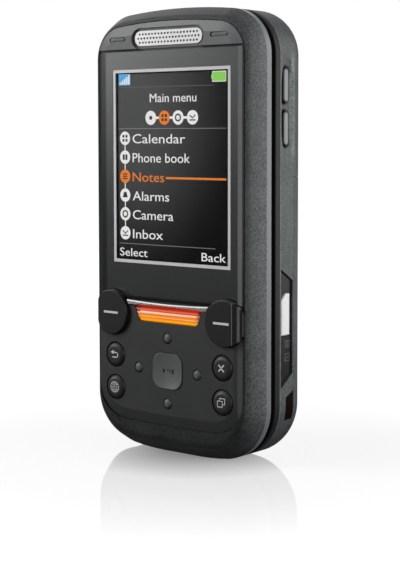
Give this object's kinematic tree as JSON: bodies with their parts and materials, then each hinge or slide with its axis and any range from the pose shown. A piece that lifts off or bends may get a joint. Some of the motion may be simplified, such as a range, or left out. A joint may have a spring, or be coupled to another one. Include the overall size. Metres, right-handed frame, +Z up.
{
  "type": "slider phone",
  "caption": "Mobile phone whose front half, with display and navigation keys, slides up to bare a number keypad.",
  "frame": {"origin": "middle of the underside of the closed phone, standing on its lower end", "axes": "X to the right as the display is read, Y from the display to the back, Z up along the slide"},
  "size_m": [0.047, 0.021, 0.098],
  "materials": {
    "front_housing": "satin graphite paint over moulded plastic",
    "front_panel": "satin black",
    "window": "smoked, glossy",
    "display": "display in a grey tray",
    "silver_trim": "bright",
    "chrome": "polished",
    "light_bar": "glossy orange, clear",
    "light_band": "satin grey band",
    "slide_steel": "bare",
    "board": "green solder mask",
    "screw": "dark",
    "key": "satin black",
    "deck": "fine matt",
    "number_key": "satin, pale marks",
    "rear_shell": "fine-grained soft coat",
    "side_trim": "glossy",
    "infrared": "very dark red, glossy",
    "silver_key": "satin silver",
    "side_key": "satin",
    "shield": "tinned",
    "battery": "wrapped",
    "component": "matt black",
    "lens": "glossy",
    "flash": "clear, ribbed",
    "spring": "bright wire",
    "flex": "amber film"
  },
  "bodies": {
    "rear_half": {"keypad_deck": "deck", "slide_carriage": "slide_steel", "slide_spring": "spring", "flex_cable": "flex", "rear_housing": "rear_shell", "side_panel": "side_trim", "infrared_window": "infrared", "main_circuit_board": "board", "shield_can": "shield", "battery": "battery", "card_holder": "shield", "camera_module": "component", "camera_window": "lens", "flash_led": "flash", "loudspeaker": "component", "vibration_motor": "shield", "system_connector": "component", "rear_screws": "screw"},
    "front_half": {"front_cover": "front_housing", "earpiece_panel": "front_panel", "earpiece_grille": "silver_trim", "earpiece_speaker": "component", "display_window": "window", "display_frame": "silver_trim", "display_module": "display", "keypad_panel": "front_panel", "chrome_bar": "chrome", "light_bar": "light_bar", "slider_back_cover": "light_band", "slide_rail_plate": "slide_steel", "front_circuit_board": "board", "front_screws": "screw"},
    "soft_key_left": {"soft_key_left": "key"},
    "soft_key_right": {"soft_key_right": "key"},
    "back_key": {"back_key": "key"},
    "internet_key": {"internet_key": "key"},
    "clear_key": {"clear_key": "key"},
    "activity_key": {"activity_key": "key"},
    "nav_up_key": {"nav_up_key": "key"},
    "nav_down_key": {"nav_down_key": "key"},
    "nav_left_key": {"nav_left_key": "key"},
    "nav_right_key": {"nav_right_key": "key"},
    "select_key": {"select_key": "key"},
    "number_key_1": {"number_key_1": "number_key"},
    "number_key_2": {"number_key_2": "number_key"},
    "number_key_3": {"number_key_3": "number_key"},
    "number_key_4": {"number_key_4": "number_key"},
    "number_key_5": {"number_key_5": "number_key"},
    "number_key_6": {"number_key_6": "number_key"},
    "number_key_7": {"number_key_7": "number_key"},
    "number_key_8": {"number_key_8": "number_key"},
    "number_key_9": {"number_key_9": "number_key"},
    "number_key_star": {"number_key_star": "number_key"},
    "number_key_0": {"number_key_0": "number_key"},
    "number_key_hash": {"number_key_hash": "number_key"},
    "volume_rocker": {"volume_rocker": "side_key"},
    "camera_key": {"camera_key": "silver_key"},
    "music_key": {"music_key": "side_key"},
    "power_key": {"power_key": "side_key"},
    "battery_cover": {"battery_cover": "rear_shell"}
  },
  "joints": [
    {"name": "slide", "type": "slide", "parent": "rear_half", "child": "front_half", "axis": [0, 0, 1], "range_m": [0, 0.038], "deforming": ["slide_spring", "flex_cable"]},
    {"name": "soft_key_left_press", "type": "slide", "parent": "front_half", "child": "soft_key_left", "axis": [0, 1, 0], "range_m": [0, 0.00035], "stiffness_N_per_m": 60},
    {"name": "soft_key_right_press", "type": "slide", "parent": "front_half", "child": "soft_key_right", "axis": [0, 1, 0], "range_m": [0, 0.00035], "stiffness_N_per_m": 60},
    {"name": "back_key_press", "type": "slide", "parent": "front_half", "child": "back_key", "axis": [0, 1, 0], "range_m": [0, 0.00035], "stiffness_N_per_m": 60},
    {"name": "internet_key_press", "type": "slide", "parent": "front_half", "child": "internet_key", "axis": [0, 1, 0], "range_m": [0, 0.00035], "stiffness_N_per_m": 60},
    {"name": "clear_key_press", "type": "slide", "parent": "front_half", "child": "clear_key", "axis": [0, 1, 0], "range_m": [0, 0.00035], "stiffness_N_per_m": 60},
    {"name": "activity_key_press", "type": "slide", "parent": "front_half", "child": "activity_key", "axis": [0, 1, 0], "range_m": [0, 0.00035], "stiffness_N_per_m": 60},
    {"name": "nav_up_key_press", "type": "slide", "parent": "front_half", "child": "nav_up_key", "axis": [0, 1, 0], "range_m": [0, 0.00035], "stiffness_N_per_m": 60},
    {"name": "nav_down_key_press", "type": "slide", "parent": "front_half", "child": "nav_down_key", "axis": [0, 1, 0], "range_m": [0, 0.00035], "stiffness_N_per_m": 60},
    {"name": "nav_left_key_press", "type": "slide", "parent": "front_half", "child": "nav_left_key", "axis": [0, 1, 0], "range_m": [0, 0.00035], "stiffness_N_per_m": 60},
    {"name": "nav_right_key_press", "type": "slide", "parent": "front_half", "child": "nav_right_key", "axis": [0, 1, 0], "range_m": [0, 0.00035], "stiffness_N_per_m": 60},
    {"name": "select_key_press", "type": "slide", "parent": "front_half", "child": "select_key", "axis": [0, 1, 0], "range_m": [0, 0.00035], "stiffness_N_per_m": 60},
    {"name": "number_key_1_press", "type": "slide", "parent": "rear_half", "child": "number_key_1", "axis": [0, 1, 0], "range_m": [0, 0.0003], "stiffness_N_per_m": 60},
    {"name": "number_key_2_press", "type": "slide", "parent": "rear_half", "child": "number_key_2", "axis": [0, 1, 0], "range_m": [0, 0.0003], "stiffness_N_per_m": 60},
    {"name": "number_key_3_press", "type": "slide", "parent": "rear_half", "child": "number_key_3", "axis": [0, 1, 0], "range_m": [0, 0.0003], "stiffness_N_per_m": 60},
    {"name": "number_key_4_press", "type": "slide", "parent": "rear_half", "child": "number_key_4", "axis": [0, 1, 0], "range_m": [0, 0.0003], "stiffness_N_per_m": 60},
    {"name": "number_key_5_press", "type": "slide", "parent": "rear_half", "child": "number_key_5", "axis": [0, 1, 0], "range_m": [0, 0.0003], "stiffness_N_per_m": 60},
    {"name": "number_key_6_press", "type": "slide", "parent": "rear_half", "child": "number_key_6", "axis": [0, 1, 0], "range_m": [0, 0.0003], "stiffness_N_per_m": 60},
    {"name": "number_key_7_press", "type": "slide", "parent": "rear_half", "child": "number_key_7", "axis": [0, 1, 0], "range_m": [0, 0.0003], "stiffness_N_per_m": 60},
    {"name": "number_key_8_press", "type": "slide", "parent": "rear_half", "child": "number_key_8", "axis": [0, 1, 0], "range_m": [0, 0.0003], "stiffness_N_per_m": 60},
    {"name": "number_key_9_press", "type": "slide", "parent": "rear_half", "child": "number_key_9", "axis": [0, 1, 0], "range_m": [0, 0.0003], "stiffness_N_per_m": 60},
    {"name": "number_key_star_press", "type": "slide", "parent": "rear_half", "child": "number_key_star", "axis": [0, 1, 0], "range_m": [0, 0.0003], "stiffness_N_per_m": 60},
    {"name": "number_key_0_press", "type": "slide", "parent": "rear_half", "child": "number_key_0", "axis": [0, 1, 0], "range_m": [0, 0.0003], "stiffness_N_per_m": 60},
    {"name": "number_key_hash_press", "type": "slide", "parent": "rear_half", "child": "number_key_hash", "axis": [0, 1, 0], "range_m": [0, 0.0003], "stiffness_N_per_m": 60},
    {"name": "volume_rock", "type": "hinge", "parent": "rear_half", "child": "volume_rocker", "pos_m": [0.0215, 0.0021, 0.0764], "axis": [0, 1, 0], "range_deg": [-1.6, 1.6], "stiffness_Nm_per_rad": 0.0015},
    {"name": "camera_key_press", "type": "slide", "parent": "rear_half", "child": "camera_key", "axis": [-1, 0, 0], "range_m": [0, 0.0003], "stiffness_N_per_m": 60},
    {"name": "music_key_press", "type": "slide", "parent": "rear_half", "child": "music_key", "axis": [1, 0, 0], "range_m": [0, 0.0003], "stiffness_N_per_m": 60},
    {"name": "power_key_press", "type": "slide", "parent": "rear_half", "child": "power_key", "axis": [0, 0, -1], "range_m": [0, 0.0003], "stiffness_N_per_m": 60},
    {"name": "battery_cover_hinge", "type": "hinge", "parent": "rear_half", "child": "battery_cover", "pos_m": [0, 0.0049, 0], "axis": [-1, 0, 0], "range_deg": [0, 60]}
  ]
}
